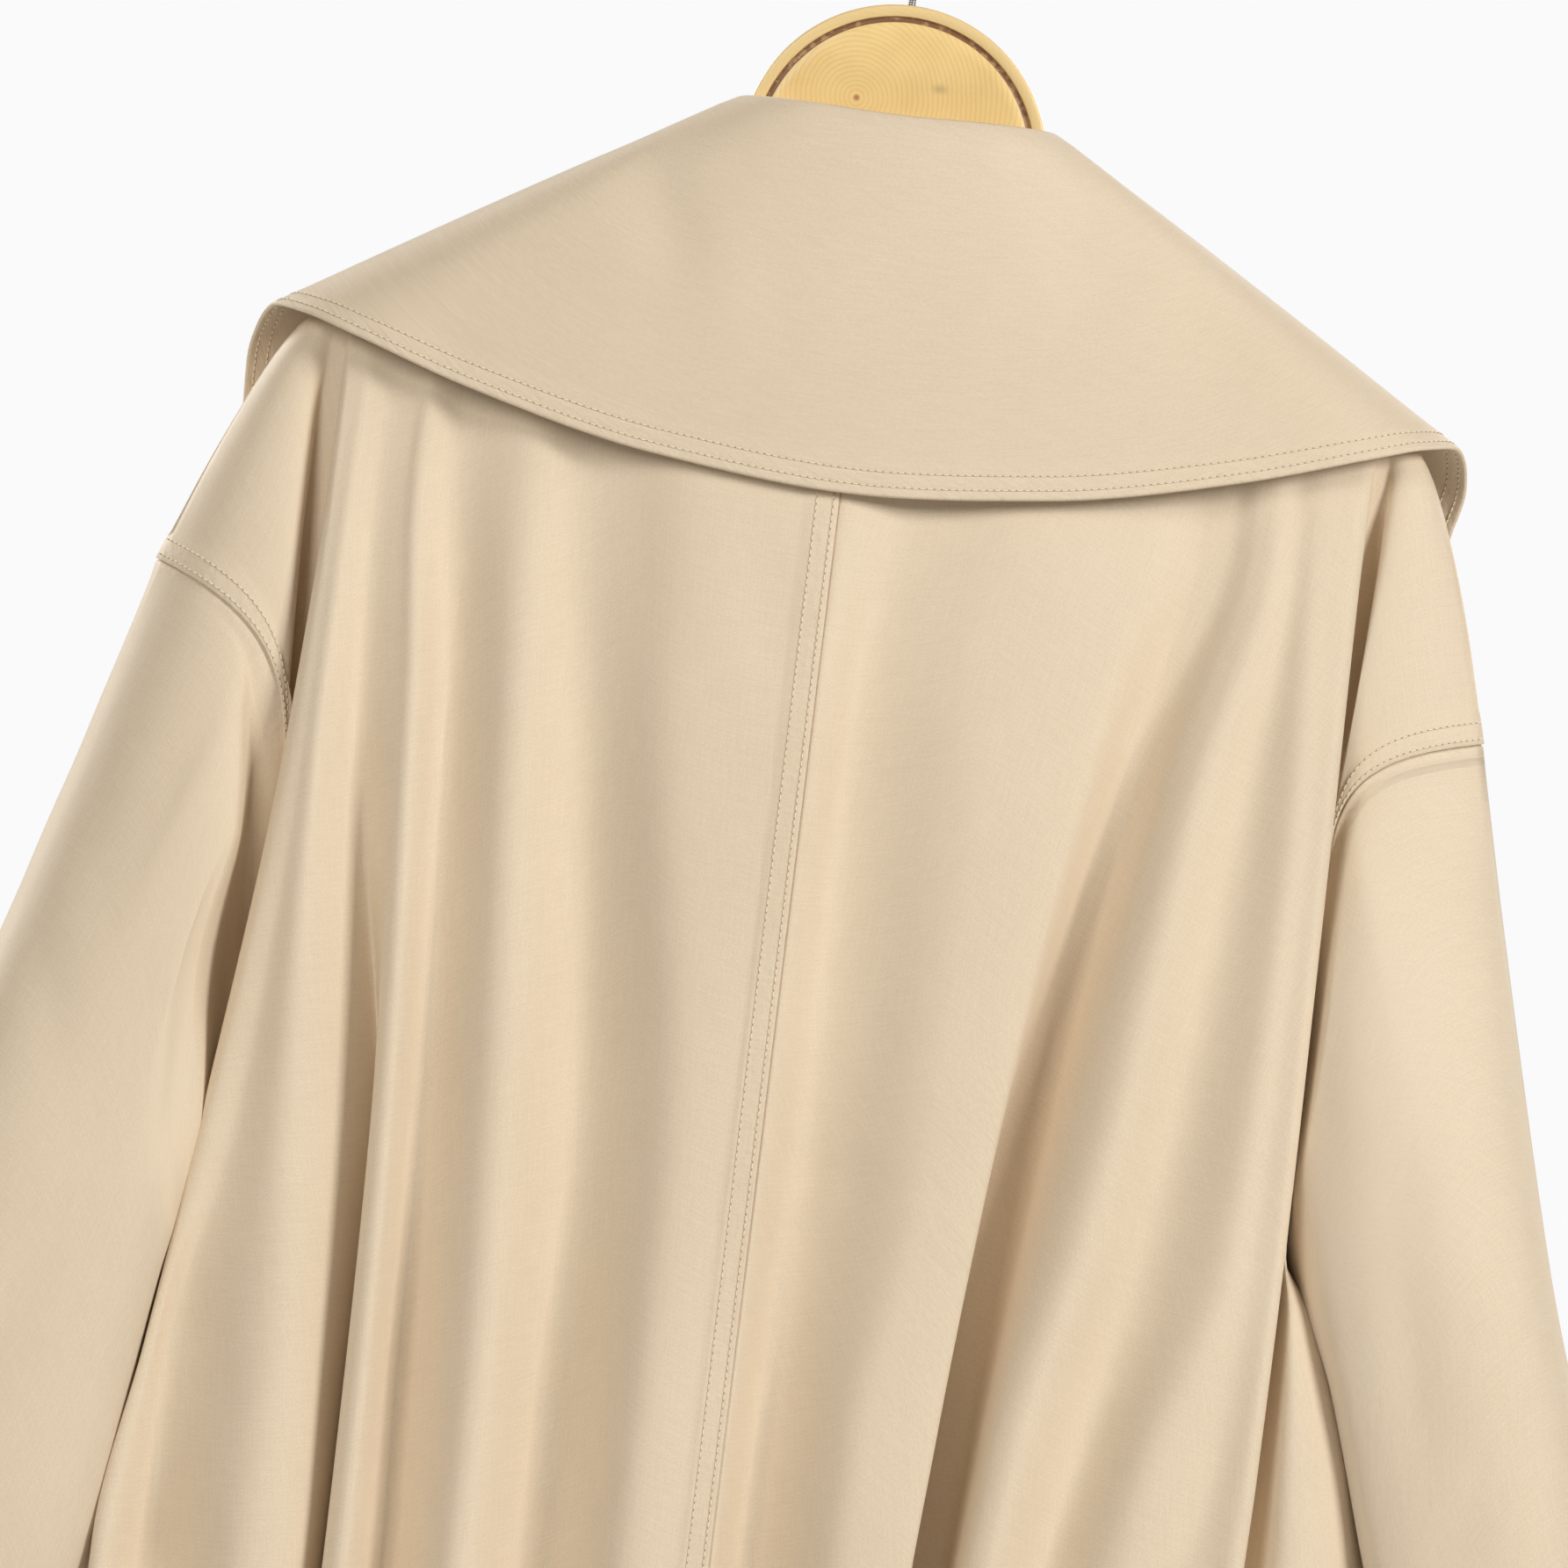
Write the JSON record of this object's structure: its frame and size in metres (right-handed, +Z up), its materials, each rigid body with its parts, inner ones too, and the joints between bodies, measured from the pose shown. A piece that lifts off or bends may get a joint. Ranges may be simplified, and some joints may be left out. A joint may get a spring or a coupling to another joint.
{
  "type": "trench coat on hanger",
  "caption": "Belted double-breasted trench coat with a wide cape-like collar and dropped sleeves, hanging on a wooden hanger with a round plate and wire hook.",
  "frame": {"origin": "where the hook hangs, the highest point of the inside of its curve", "axes": "+Z up, +Y out of the coat's back, +X towards the wearer's left sleeve"},
  "size_m": [0.783, 0.1503, 1.2531],
  "materials": {
    "gabardine": "fine twill with a soft sheen",
    "horn": "satin",
    "pale_wood": "satin varnish",
    "hook_metal": "dull grey"
  },
  "bodies": {
    "root": {"back_left": "gabardine", "back_right": "gabardine", "front_left": "gabardine", "front_right": "gabardine", "sleeve_left": "gabardine", "sleeve_right": "gabardine", "collar": "gabardine", "belt": "gabardine", "belt_loop_left": "gabardine", "belt_loop_back": "gabardine", "belt_loop_right": "gabardine", "buckle": "horn", "buckle_prong": "horn", "button_1": "horn", "button_2": "horn", "button_3": "horn", "button_4": "horn", "button_5": "horn", "button_6": "horn", "hanger_plate": "pale_wood", "hanger_bar": "pale_wood", "hanger_hook": "hook_metal"}
  },
  "joints": []
}
